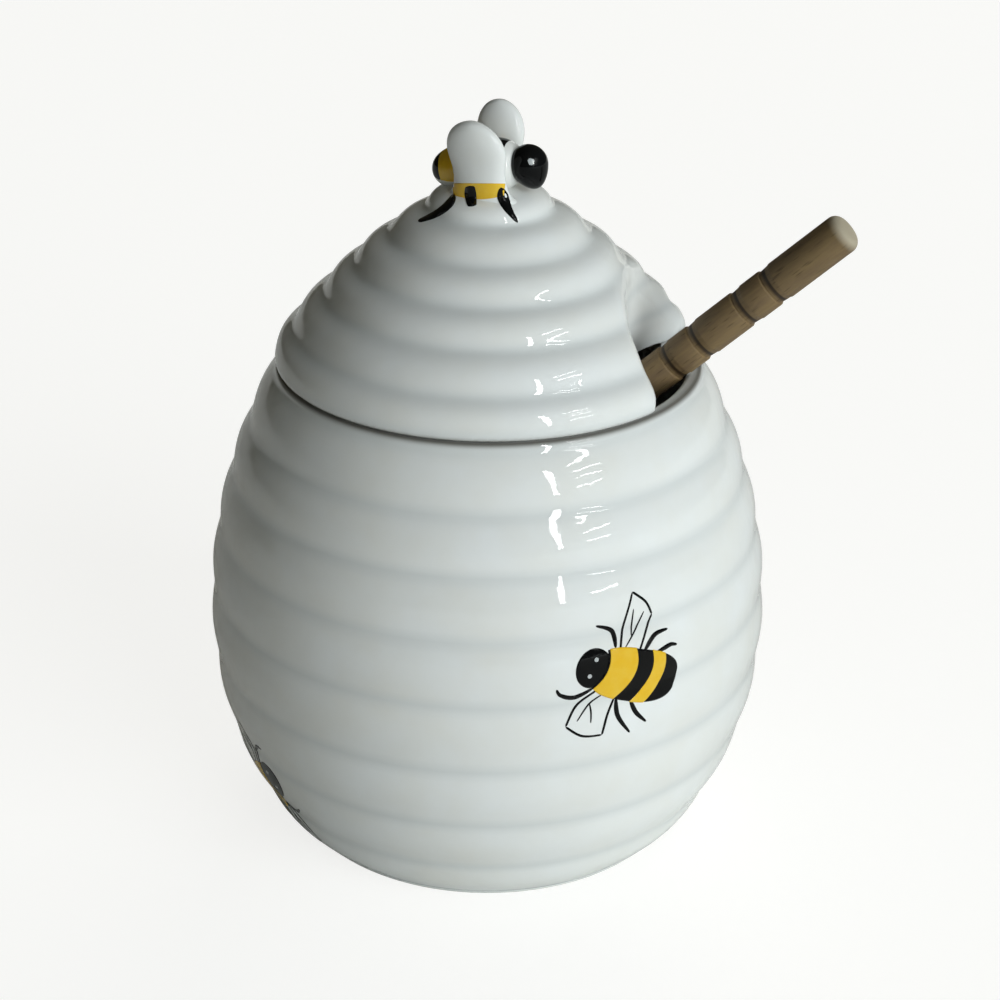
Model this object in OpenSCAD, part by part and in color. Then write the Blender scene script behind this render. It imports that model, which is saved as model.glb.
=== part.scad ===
// Honey pot in the form of a coiled straw beehive: a ringed pot, a ringed lid with a scooped
// notch, a small bee as the lid's knob and a turned wooden dipper that leans out of the notch.
// Z is the pot's axis, the table is at z = 0, and the notch and the dipper lie along +X.

/* [Pot] */
// Height of the pot, from the table to its rim
pot_h = 99; // [88:1:112]
// Outside radius of the rim, which the lid shares
rim_r = 42; // [39:0.5:45]
// Radius of the belly, in the grooves between the coils
belly_r = 56; // [52:0.2:60]
// Height of the widest place of the belly
belly_z = 46; // [40:1:52]
// Radius of the lowest coil where it meets the foot ring
foot_r = 42; // [37:0.5:44]
// Wall of the pot, measured across
pot_wall = 3.2; // [2.6:0.1:4.5]
// Thickness of the pot's floor, above the foot ring
floor_t = 4; // [3:0.25:6]
// Height of the bare foot ring
foot_h = 1.5; // [1:0.1:2.5]
// Width of the bare foot ring
foot_w = 4; // [3:0.25:6]

/* [Coils] */
// How far each coil of the pot stands out of its grooves
pot_coil_h = 0.85; // [0.5:0.05:1.5]
// How far each coil of the lid stands out of its grooves
lid_coil_h = 1; // [0.5:0.05:1.5]
// Rounding of the two rims that meet at the seam
lip_r = 1.2; // [0.8:0.1:1.4]

/* [Lid] */
// Height of the lid, from its rim to the top of its crown
lid_h = 35.6; // [31:0.2:40]
// Wall of the lid, square to its slope
lid_wall = 3.4; // [2.6:0.1:4.5]
// How deep the locating flange reaches into the pot
flange_h = 5; // [3:0.25:7]
// Wall of the locating flange
flange_t = 2.8; // [2:0.1:3.6]
// Gap all round between the flange and the pot's mouth
mouth_gap = 0.6; // [0.4:0.05:1.2]
// Gap between the lid's rim and the pot's rim, left by the glaze
seat_gap = 0.1; // [0.05:0.05:0.3]

/* [Notch] */
// Radius of the scoop that forms the notch
scoop_r = 20.5; // [18:0.5:23]
// How deep the scoop cuts into the lid from its rim
notch_depth = 15; // [14:0.25:16]
// Wall behind the notch
notch_wall = 3.2; // [2.4:0.1:4]

/* [Bee] */
// Direction in which the bee looks, turned from the notch
bee_turn = -13; // [-40:1:40]
// Length of the bee's body without its head
bee_len = 17.2; // [15:0.2:18.4]
// Thickness of the bee's body
bee_d = 12.2; // [11:0.2:13]
// Rise of the body towards the head, in degrees
bee_rise = 11; // [6:0.5:15]
// Diameter of the bee's head
head_d = 7.5; // [6.4:0.1:8.6]
// Width of a wing, along the bee
wing_w = 11.2; // [9.5:0.1:12]
// Thickness of a wing
wing_t = 4.6; // [4:0.1:5.2]
// Height of the wing tips above the lid's crown
wing_rise = 14.2; // [12:0.2:16]
// Outward lean of a wing, in degrees
wing_lean = 11; // [6:0.5:14]
// Gap at the joins between the bee's pieces and the lid
lute_gap = 0.1; // [0.05:0.05:0.2]

/* [Dipper] */
// Length of the dipper
dipper_len = 151; // [140:1:154]
// Room that the pot's curve leaves between the dipper's head and the wall across
end_room = 2.7; // [2.4:0.1:4]
// Diameter of the dipper's handle
handle_d = 7.2; // [6:0.1:8]
// Lean of the dipper above the horizontal, in degrees
dipper_lean = 43; // [41:0.5:46]
// Diameter of the grooved head at its middle
dip_d = 23; // [20:0.5:25]
// Number of grooves in the head
dip_grooves = 6; // [4:1:7]
// Distance from one groove of the head to the next
dip_pitch = 4.6; // [4:0.1:5]
// Width of a groove of the head
dip_groove_w = 2; // [1.6:0.1:2.4]
// Depth of the shallow bands turned in the handle
band_depth = 0.35; // [0.2:0.05:0.6]
// Width of the shallow bands turned in the handle
band_w = 2.4; // [1.8:0.1:3]
// Gap between the handle and the rim on which it leans
rest_gap = 0.3; // [0.2:0.05:0.5]

/* [Hidden] */
$fn = 96;

// Share of the pot's height that each coil takes, from the foot up
pot_coils = [10.6, 13.2, 13.7, 14.2, 13, 12, 10.7, 11];
// Grooves of the lid, each as a share of the rim's radius and of the lid's height
lid_grooves = [[0.907, 0.201], [0.762, 0.389], [0.62, 0.556], [0.468, 0.716], [0.285, 0.869]];
// Distance from the dipper's tip to the middle of each band on its handle
bands = [18, 25, 36, 43];
// Straight pieces that stand for the curve of one coil, and for one rounded lip
coil_steps = 8;
lip_steps = 4;

// Radius of the mouth, and of the flange that hangs in it
mouth_r = rim_r - pot_wall;
flange_r = mouth_r - mouth_gap;
// Height of the lid's rim and of the lid's crown
lid_z = pot_h + seat_gap;
crown_z = lid_z + lid_h;
// Centre of the scoop, on the side of the notch
scoop_x = rim_r - notch_depth + scoop_r;

// Height of each groove of the pot, as a share of its height
function sum_to(v, n) = n < 0 ? 0 : v[n] + sum_to(v, n - 1);
function coil_z(i) = foot_h + (pot_h - lip_r - foot_h) * sum_to(pot_coils, i - 1)
    / sum_to(pot_coils, len(pot_coils) - 1);

// Radius of the pot in its grooves at height z: it swells from the foot and closes to the rim
function pot_line(z) = z < belly_z
    ? belly_r - (belly_r - foot_r) * pow(1 - max(z - foot_h, 0) / (belly_z - foot_h), 2.4)
    : belly_r - (belly_r - rim_r) * pow((z - belly_z) / (pot_h - lip_r - belly_z), 2);

// Outline of one coil from groove a to groove b, bowed outwards and easing into the grooves
function bow(t) = 0.75 * sin(180 * t) + 0.125 * (1 - cos(360 * t));
function outward(a, b) = [b[1] - a[1], a[0] - b[0]] / norm(b - a);
function coil(a, b, h) = [
    for (i = [0 : coil_steps - 1])
        let (t = i / coil_steps) a + (b - a) * t + outward(a, b) * h * bow(t)
];
function chain(v, h) = [for (i = [0 : len(v) - 2]) each coil(v[i], v[i + 1], h)];

// Arc about a centre, from one angle to another
function arc(c, r, from, to, steps) = [
    for (i = [0 : steps]) let (a = from + (to - from) * i / steps) c + r * [cos(a), sin(a)]
];

// Grooves of the pot and of the lid, as points of radius and height
pot_points = [for (i = [0 : len(pot_coils)]) [pot_line(coil_z(i)), coil_z(i)]];
lid_points = concat(
    [[rim_r, lid_z + lip_r]],
    [for (g = lid_grooves) [rim_r * g[0], lid_z + lid_h * g[1]]]
);
last_groove = lid_points[len(lid_points) - 1];

// Crown of the lid: a low mound with full shoulders, which carries the bee
crown_share = 2 / 2.4;
crown = [
    for (i = [0 : coil_steps])
        let (a = 90 * i / coil_steps) [
            last_groove[0] * pow(cos(a), crown_share),
            last_groove[1] + (crown_z - last_groove[1]) * pow(sin(a), crown_share)
        ]
];

// Inside of the pot: a bowed floor corner, then a wall that keeps its distance from the coils
floor_z = foot_h + floor_t;
foot_step = 1;
foot_round = 0.5;
corner_h = 10;
corner_w = 16;
function inside(z) = pot_line(z) - pot_wall;
corner = [
    for (i = [lip_steps * 2 : -1 : 0])
        let (a = 90 * i / (lip_steps * 2))
            [inside(floor_z + corner_h) - corner_w * (1 - sin(a)), floor_z + corner_h * (1 - cos(a))]
];
wall_steps = 12;
wall_top = pot_h - lip_r;
wall_inside = [
    for (i = [0 : wall_steps - 1])
        let (z = wall_top - (wall_top - floor_z - corner_h) * i / wall_steps) [inside(z), z]
];

module pot() color("whitesmoke") rotate_extrude() polygon(concat(
    [
        [0, foot_h],
        [foot_r - foot_step - foot_w, foot_h],
        [foot_r - foot_step - foot_w + foot_round, 0],
        [foot_r - foot_step - foot_round, 0],
        [foot_r - foot_step, foot_round],
        [foot_r - foot_step, foot_h],
    ],
    chain(pot_points, pot_coil_h),
    arc([rim_r - lip_r, pot_h - lip_r], lip_r, 0, 90, lip_steps),
    arc([mouth_r + lip_r, pot_h - lip_r], lip_r, 90, 180, lip_steps),
    wall_inside,
    corner,
    [[0, floor_z]]
));

// The lid's outside as a solid, without its hollow and its notch
lid_outline = concat(
    arc([rim_r - lip_r, lid_z + lip_r], lip_r, -90, 0, lip_steps),
    chain(lid_points, lid_coil_h),
    crown
);
module lid_solid() rotate_extrude() polygon(concat([[0, lid_z]], lid_outline));

// Place inside the lid's wall that belongs to groove i
function lid_inside(i) =
    lid_points[i] - lid_wall * outward(lid_points[i - 1], lid_points[min(i + 1, len(lid_points) - 1)]);

flange_round = 0.6;
module lid_shell() rotate_extrude() polygon(concat(
    [
        [flange_r - flange_t, lid_z - flange_h + flange_round],
        [flange_r - flange_t + flange_round, lid_z - flange_h],
        [flange_r - flange_round, lid_z - flange_h],
        [flange_r, lid_z - flange_h + flange_round],
        [flange_r, lid_z],
    ],
    lid_outline,
    [[0, crown_z - lid_wall]],
    [for (i = [len(lid_points) - 1 : -1 : 2]) lid_inside(i)],
    [[flange_r - flange_t, lid_points[1][1] - lid_wall * 0.3]]
));

module scoop(r, from, to) translate([scoop_x, 0, from]) cylinder(r = r, h = to - from);

module lid() color("whitesmoke") difference() {
    union() {
        lid_shell();
        intersection() {
            lid_solid();
            scoop(scoop_r + notch_wall, lid_z, crown_z);
        }
    }
    scoop(scoop_r, lid_z - flange_h - 1, crown_z + 1);
}

// The bee's own frame: x along the bee, z up, its middle over the pot's axis
tail_x = -bee_len * 0.68;
body_z = crown_z + bee_d * 0.057;
module bee_frame() rotate([0, 0, bee_turn]) children();

// Radius of the bee's body at share t of its length, blunt at the head and finer at the tail
function bee_radius(t) = bee_d / 2 * pow(sin(180 * pow(t, 0.85)), 0.55);
module body_form(grow) bee_frame()
    translate([tail_x, 0, body_z])
    rotate([0, 90 - bee_rise, 0])
    rotate_extrude() polygon(concat(
        [for (i = [0 : 16]) let (t = i / 16) [bee_radius(t) + (t > 0 && t < 1 ? grow : 0),
            bee_len * t + grow * (2 * t - 1)]]
    ));

// What the lid keeps for itself below the bee
module crown_bed() translate([0, 0, lute_gap]) lid_solid();

module bee_body() color("gold") difference() {
    body_form(0);
    crown_bed();
}

// The head hangs on the front of the body, with its chin drawn down and forwards
head_x = tail_x + bee_len * cos(bee_rise) + head_d * 0.36;
head_z = body_z + bee_len * sin(bee_rise) + head_d * 0.08;
chin = head_d * 0.36;
module bee_head() color("black") difference() {
    bee_frame()
        translate([head_x, 0, head_z])
        rotate([0, 155, 0])
        rotate_extrude() polygon(concat(
            [[0, -head_d / 2]],
            arc([0, 0], head_d / 2, -75, 15, 8),
            arc([0, chin], head_d * 0.3, 25, 90, 5)
        ));
    body_form(lute_gap);
    crown_bed();
}

// A wing is a thick rounded paddle that stands beside the body
module wing_form(side) bee_frame() translate([0, side * bee_d * 0.46, crown_z])
    rotate([-side * wing_lean, 0, 0]) hull() {
        translate([0, 0, wing_rise - wing_w * 0.55])
            scale([wing_w * 0.5, wing_t * 0.5, wing_w * 0.55])
            sphere(r = 1, $fn = 28);
        translate([wing_w * 0.05, 0, wing_w * 0.1])
            scale([wing_w * 0.44, wing_t * 0.62, wing_w * 0.3])
            sphere(r = 1, $fn = 28);
    }

module bee_wing(side) color("white") difference() {
    wing_form(side);
    body_form(lute_gap);
    crown_bed();
}
module bee_wing_left() bee_wing(1);
module bee_wing_right() bee_wing(-1);

// The dipper touches the inner rounding of the rim, and everything on it is measured from there
handle_r = handle_d / 2;
rest_c = [mouth_r + lip_r, pot_h - lip_r];
rest = rest_c + (lip_r + rest_gap + handle_r) * [-sin(dipper_lean), cos(dipper_lean)];
neck_w = 2;
head_len = dip_pitch * dip_grooves + dip_groove_w + neck_w * 2;

// Radius of the head's discs at a distance s from its lower end: a barrel
function barrel(s) = dip_d / 2 * (1 - 0.24 * pow(2 * s / head_len - 1, 2));
core_r = dip_d * 0.24;
disc_edge = 0.4;
function groove(s) = [
    [barrel(s) - disc_edge, s],
    [barrel(s), s + disc_edge],
    [barrel(s + dip_pitch - dip_groove_w), s + dip_pitch - dip_groove_w - disc_edge],
    [barrel(s + dip_pitch - dip_groove_w) - disc_edge, s + dip_pitch - dip_groove_w],
    [core_r, s + dip_pitch - dip_groove_w],
    [core_r, s + dip_pitch],
];
function band(s) = [
    [handle_r, s - band_w / 2],
    [handle_r - band_depth, s - band_w / 2],
    [handle_r - band_depth * 0.4, s + band_w / 2],
    [handle_r, s + band_w / 2],
];

// Length of the dipper inside its place on the rim, from the width of the pot
dipper_in = (rest[0] + belly_r - pot_wall - dip_d / 2 * sin(dipper_lean) - end_room)
    / cos(dipper_lean);

// Outline of the dipper from its lower end (0) to its tip (dipper_len)
dome_h = 3;
dome_r = barrel(dome_h);
dome_a = 75;
neck_s = dome_h + dip_pitch * dip_grooves;
tip_round = handle_r * 0.55;
dipper_outline = concat(
    [
        for (i = [0 : 5])
            let (a = dome_a * i / 5) [dome_r * sin(a) / sin(dome_a), dome_h * (1 - cos(a))]
    ],
    [for (i = [0 : dip_grooves - 1]) each groove(dome_h + i * dip_pitch)],
    [
        [barrel(neck_s) - disc_edge, neck_s],
        [barrel(neck_s), neck_s + disc_edge],
        [barrel(neck_s), neck_s + neck_w],
        [barrel(neck_s + neck_w) - neck_w * 0.75, neck_s + neck_w * 1.8],
        [handle_r * 1.28, neck_s + neck_w * 3],
        [handle_r * 1.06, neck_s + neck_w * 4.5],
        [handle_r, neck_s + neck_w * 6],
    ],
    [for (i = [len(bands) - 1 : -1 : 0]) each band(dipper_len - bands[i])],
    arc([handle_r - tip_round, dipper_len - tip_round * 1.2], tip_round, 0, 80, 5),
    [[0, dipper_len]]
);

module honey_dipper() color("tan")
    translate([rest[0], 0, rest[1]])
    rotate([0, 90 - dipper_lean, 0])
    translate([0, 0, -dipper_in])
    rotate_extrude() polygon(dipper_outline);

pot();
lid();
bee_body();
bee_head();
bee_wing_left();
bee_wing_right();
honey_dipper();
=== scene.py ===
"""A glazed honey pot in the form of a straw hive, with a bee on its lid and a turned dipper."""

import logging
import math
from dataclasses import dataclass
from enum import Enum
from typing import Callable, Sequence

import bmesh
import bpy
from mathutils import Matrix, Vector
from mathutils.bvhtree import BVHTree


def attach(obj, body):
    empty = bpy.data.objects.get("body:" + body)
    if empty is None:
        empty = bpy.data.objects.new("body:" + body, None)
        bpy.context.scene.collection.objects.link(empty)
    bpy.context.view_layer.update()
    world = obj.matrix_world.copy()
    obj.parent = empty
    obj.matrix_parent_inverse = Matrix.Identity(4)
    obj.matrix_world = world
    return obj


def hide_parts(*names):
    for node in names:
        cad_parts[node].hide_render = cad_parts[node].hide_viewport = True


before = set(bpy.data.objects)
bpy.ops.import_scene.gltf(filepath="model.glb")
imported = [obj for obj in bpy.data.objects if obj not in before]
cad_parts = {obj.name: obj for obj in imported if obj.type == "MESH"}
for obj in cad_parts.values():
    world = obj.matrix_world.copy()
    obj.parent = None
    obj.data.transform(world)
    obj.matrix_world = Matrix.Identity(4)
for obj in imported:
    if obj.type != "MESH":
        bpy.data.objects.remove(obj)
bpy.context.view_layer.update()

MM = 0.001
UP = Vector((0.0, 0.0, 1.0))
FILM_MM = 0.15  # thickness of a painted colour, drawn thicker than real so that it holds
Point2 = tuple[float, float]

log = logging.getLogger("honey_pot")


class Body(Enum):
    """The three loose pieces of the real thing, by the names of their CAD bodies."""

    POT = "pot"
    LID = "lid"
    DIPPER = "dipper"


class Slot(Enum):
    """Material slots of the record."""

    WHITE = "white_glaze"
    YELLOW = "yellow_glaze"
    BLACK = "black_glaze"
    WOOD = "turned_wood"


# ---- small tools ----


def linear(code: str) -> tuple[float, float, float, float]:
    """Turn an sRGB colour such as "#e8e8e4" into linear red, green, blue and alpha.

    Args:
        code: Six hexadecimal digits after a hash.

    Returns:
        The linear colour that Blender's sockets take.
    """
    shares = [int(code[i : i + 2], 16) / 255 for i in (1, 3, 5)]
    return (*(c / 12.92 if c <= 0.04045 else ((c + 0.055) / 1.055) ** 2.4 for c in shares), 1.0)


def add(
    tree: bpy.types.NodeTree, kind: str, inputs: dict | None = None, **settings
) -> bpy.types.Node:
    """Add a node with its settings, and fill or link its inputs.

    Args:
        tree: The tree that the node goes into.
        kind: The node's type name.
        inputs: Values or output sockets, by the name or number of the input.
        settings: Properties of the node itself.

    Returns:
        The new node.
    """
    made = tree.nodes.new(kind)
    for name, value in settings.items():
        setattr(made, name, value)
    for key, value in (inputs or {}).items():
        if isinstance(value, bpy.types.NodeSocket):
            tree.links.new(value, made.inputs[key])
        else:
            made.inputs[key].default_value = value
    return made


def ramp(
    tree: bpy.types.NodeTree, source: bpy.types.NodeSocket, stops: Sequence[tuple[float, str]]
) -> bpy.types.NodeSocket:
    """Colour a value by a few stops.

    Args:
        tree: The tree to work in.
        source: The value from 0 to 1.
        stops: Places and sRGB colours, in rising order.

    Returns:
        The colour output.
    """
    made = add(tree, "ShaderNodeValToRGB", {"Fac": source})
    points = made.color_ramp.elements
    while len(points) < len(stops):
        points.new(1.0)
    for point, (place, code) in zip(points, stops):
        point.position, point.color = place, linear(code)
    return made.outputs["Color"]


def new_material(name: str) -> tuple[bpy.types.Material, bpy.types.NodeTree, bpy.types.Node]:
    """Start a material that holds one Principled shader.

    Args:
        name: The name of the finish.

    Returns:
        The material, its tree and the shader.
    """
    material = bpy.data.materials.new(name)
    material.use_nodes = True
    tree = material.node_tree
    return material, tree, tree.nodes["Principled BSDF"]


def finished(
    name: str, form: bmesh.types.BMesh, *materials: bpy.types.Material
) -> bpy.types.Object:
    """Make an object at the origin from a bmesh, shaded smooth but for its sharp edges.

    Args:
        name: The name of the piece.
        form: The shape in metres, freed here.
        materials: What its material slots hold.

    Returns:
        The new object, linked to the scene.
    """
    mesh = bpy.data.meshes.new(name)
    form.to_mesh(mesh)
    form.free()
    mesh.shade_smooth()
    mesh.set_sharp_from_angle(angle=math.radians(50))
    for material in materials:
        mesh.materials.append(material)
    piece = bpy.data.objects.new(name, mesh)
    bpy.context.scene.collection.objects.link(piece)
    return piece


def settled(piece: bpy.types.Object) -> None:
    """Turn a piece's modifiers into its mesh."""
    view_layer = bpy.context.view_layer
    view_layer.update()
    shape = piece.evaluated_get(bpy.context.evaluated_depsgraph_get())
    mesh = bpy.data.meshes.new_from_object(shape)
    mesh.name = piece.name
    piece.modifiers.clear()
    piece.data = mesh


def spun(points: Sequence[Point2], steps: int) -> bmesh.types.BMesh:
    """Turn an outline about the upright axis.

    Args:
        points: Radius and height in millimetres, as a chain.
        steps: Divisions of the full turn.

    Returns:
        The closed turned form in metres.
    """
    form = bmesh.new()
    chain = [form.verts.new((r * MM, 0.0, z * MM)) for r, z in points]
    for a, b in zip(chain, chain[1:]):
        form.edges.new((a, b))
    bmesh.ops.spin(
        form,
        geom=form.verts[:] + form.edges[:],
        cent=(0, 0, 0),
        axis=UP,
        angle=math.tau,
        steps=steps,
        use_merge=True,
        use_duplicate=False,
    )
    bmesh.ops.remove_doubles(form, verts=form.verts[:], dist=1e-6)
    bmesh.ops.recalc_face_normals(form, faces=form.faces[:])
    return form


def carve(piece: bpy.types.Object, tool: bpy.types.Object, operation: str) -> None:
    """Join, cut or keep what a piece shares with a tool, and remove the tool.

    Args:
        piece: The closed form that changes.
        tool: The closed form that changes it.
        operation: UNION, DIFFERENCE or INTERSECT.
    """
    step = piece.modifiers.new("carve", "BOOLEAN")
    step.object, step.operation, step.solver = tool, operation, "MANIFOLD"
    settled(piece)
    bpy.data.objects.remove(tool)


def arc(centre: Point2, radius: float, start: float, end: float, steps: int) -> list[Point2]:
    """Points of an arc.

    Args:
        centre: Its centre in millimetres.
        radius: Its radius in millimetres.
        start: First angle in degrees.
        end: Last angle in degrees.
        steps: Number of straight pieces.

    Returns:
        The points, first and last included.
    """
    angles = [math.radians(start + (end - start) * i / steps) for i in range(steps + 1)]
    return [(centre[0] + radius * math.cos(a), centre[1] + radius * math.sin(a)) for a in angles]


def way_to(bearing: float, height: float = 0.0) -> Vector:
    """Return the unit vector that looks out at a bearing and a height, both in degrees."""
    a, e = math.radians(bearing), math.radians(height)
    return Vector((math.cos(a) * math.cos(e), math.sin(a) * math.cos(e), math.sin(e)))


def fullness(away: float) -> float:
    """Return the half width of a full-bodied oval, at a share of the way from its middle."""
    return (1 - abs(away) ** 2.6) ** (1 / 2.6)


def relax(form: bmesh.types.BMesh, verts: list[bmesh.types.BMVert], rounds: int) -> None:
    """Smooth some vertices a number of times.

    Args:
        form: The shape that they belong to.
        verts: The vertices that move.
        rounds: How often they move.
    """
    for _ in range(rounds):
        bmesh.ops.smooth_vert(
            form, verts=verts, factor=0.5, use_axis_x=True, use_axis_y=True, use_axis_z=True
        )


# ---- finishes ----


def glaze_over(shader: bpy.types.Node, dullness: float, gloss: float, ior: float) -> None:
    """Lay clear glass over a dull clay body.

    Args:
        shader: The body's Principled shader.
        dullness: Roughness of the body under the glass.
        gloss: Roughness of the glass.
        ior: Its index of refraction.
    """
    coat = {
        "Roughness": dullness,
        "Specular IOR Level": 0.0,
        "Coat Weight": 1.0,
        "Coat Roughness": gloss,
        "Coat IOR": ior,
    }
    for name, value in coat.items():
        shader.inputs[name].default_value = value


@dataclass(frozen=True)
class WhiteGlaze:
    """Clear glaze over cast white earthenware.

    The eye gets a soft milky body under a hard wet gloss, painted shade that makes it a little
    greyer in the grooves, a dark brown painted shade along the rims where pot and lid meet, and a
    few pinholes.
    """

    body: str = "#dfe1de"
    warm: str = "#dbdbd4"
    # Painted shade in the grooves: this darker grey tints them.
    groove_shade: str = "#cdd0cd"
    speck: str = "#4d4438"
    # Painted shade: a dark brown line along both rims, where the gap between pot and lid lies.
    seam: str = "#443d31"
    wave_mm: float = 14.0
    peel_mm: float = 2.6
    speck_mm: float = 9.0
    rare: float = 0.9
    groove_shade_strength: float = 0.8
    dullness: float = 0.5
    gloss: float = 0.035
    ior: float = 1.5

    def make(self) -> bpy.types.Material:
        """Return the material."""
        material, tree, shader = new_material("clear_glazed_white_earthenware")
        place = add(tree, "ShaderNodeTexCoord").outputs["Object"]
        clouds = add(
            tree,
            "ShaderNodeTexNoise",
            {"Vector": place, "Scale": 1 / (self.wave_mm * MM), "Detail": 3.0, "Roughness": 0.55},
        )
        tone = ramp(tree, clouds.outputs["Fac"], [(0.3, self.body), (0.75, self.warm)])
        # Painted shade: the grooves are tinted greyer by the value stored at each point.
        groove_shade_attr = add(tree, "ShaderNodeAttribute", attribute_name="groove_shade")
        depth = add(
            tree, "ShaderNodeMath", {0: groove_shade_attr.outputs["Fac"], 1: self.groove_shade_strength},
            operation="MULTIPLY",
        )
        tint = add(
            tree,
            "ShaderNodeMix",
            {"Factor": depth.outputs[0], "A": tone, "B": linear(self.groove_shade)},
            data_type="RGBA",
        )
        pores = add(
            tree,
            "ShaderNodeTexVoronoi",
            {"Vector": place, "Scale": 1 / (self.speck_mm * MM), "Randomness": 1.0},
        )
        dot = add(
            tree,
            "ShaderNodeMapRange",
            {"Value": pores.outputs["Distance"], "From Min": 0.012, "From Max": 0.03,
             "To Min": 1.0, "To Max": 0.0},
        )
        rare = add(
            tree,
            "ShaderNodeMath",
            {0: pores.outputs["Color"], 1: self.rare},
            operation="GREATER_THAN",
        )
        spot = add(
            tree,
            "ShaderNodeMath",
            {0: dot.outputs["Result"], 1: rare.outputs[0]},
            operation="MULTIPLY",
        )
        colour = add(
            tree,
            "ShaderNodeMix",
            {"Factor": spot.outputs[0], "A": tint.outputs["Result"], "B": linear(self.speck)},
            data_type="RGBA",
        )
        # Painted shade along the rims where pot and lid meet.
        seam = add(tree, "ShaderNodeAttribute", attribute_name="seam")
        gap_shaded = add(
            tree,
            "ShaderNodeMix",
            {"Factor": seam.outputs["Fac"], "A": colour.outputs["Result"], "B": linear(self.seam)},
            data_type="RGBA",
        )
        peel = add(
            tree,
            "ShaderNodeTexNoise",
            {"Vector": place, "Scale": 1 / (self.peel_mm * MM), "Detail": 1.0},
        )
        swell = add(
            tree,
            "ShaderNodeMath",
            {0: clouds.outputs["Fac"], 1: 5.0, 2: peel.outputs["Fac"]},
            operation="MULTIPLY_ADD",
        )
        bump = add(
            tree,
            "ShaderNodeBump",
            {"Height": swell.outputs[0], "Strength": 0.22, "Distance": 0.00012},
        )
        tree.links.new(gap_shaded.outputs["Result"], shader.inputs["Base Color"])
        tree.links.new(bump.outputs["Normal"], shader.inputs["Normal"])
        tree.links.new(bump.outputs["Normal"], shader.inputs["Coat Normal"])
        glaze_over(shader, self.dullness, self.gloss, self.ior)
        return material


@dataclass(frozen=True)
class CeramicColour:
    """Colour painted under the clear glaze.

    The eye gets a flat bright colour with slightly uneven strokes, under the same wet gloss as
    the white around it.
    """

    name: str
    full: str
    thin: str
    stroke_mm: float = 3.0
    dullness: float = 0.6
    gloss: float = 0.04
    ior: float = 1.5

    def make(self) -> bpy.types.Material:
        """Return the material."""
        material, tree, shader = new_material(self.name)
        place = add(tree, "ShaderNodeTexCoord").outputs["Object"]
        strokes = add(
            tree,
            "ShaderNodeTexNoise",
            {"Vector": place, "Scale": 1 / (self.stroke_mm * MM), "Detail": 4.0,
             "Roughness": 0.6},
        )
        tone = ramp(tree, strokes.outputs["Fac"], [(0.35, self.full), (0.8, self.thin)])
        bump = add(
            tree,
            "ShaderNodeBump",
            {"Height": strokes.outputs["Fac"], "Strength": 0.15, "Distance": 0.0001},
        )
        tree.links.new(tone, shader.inputs["Base Color"])
        tree.links.new(bump.outputs["Normal"], shader.inputs["Coat Normal"])
        glaze_over(shader, self.dullness, self.gloss, self.ior)
        return material


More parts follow.
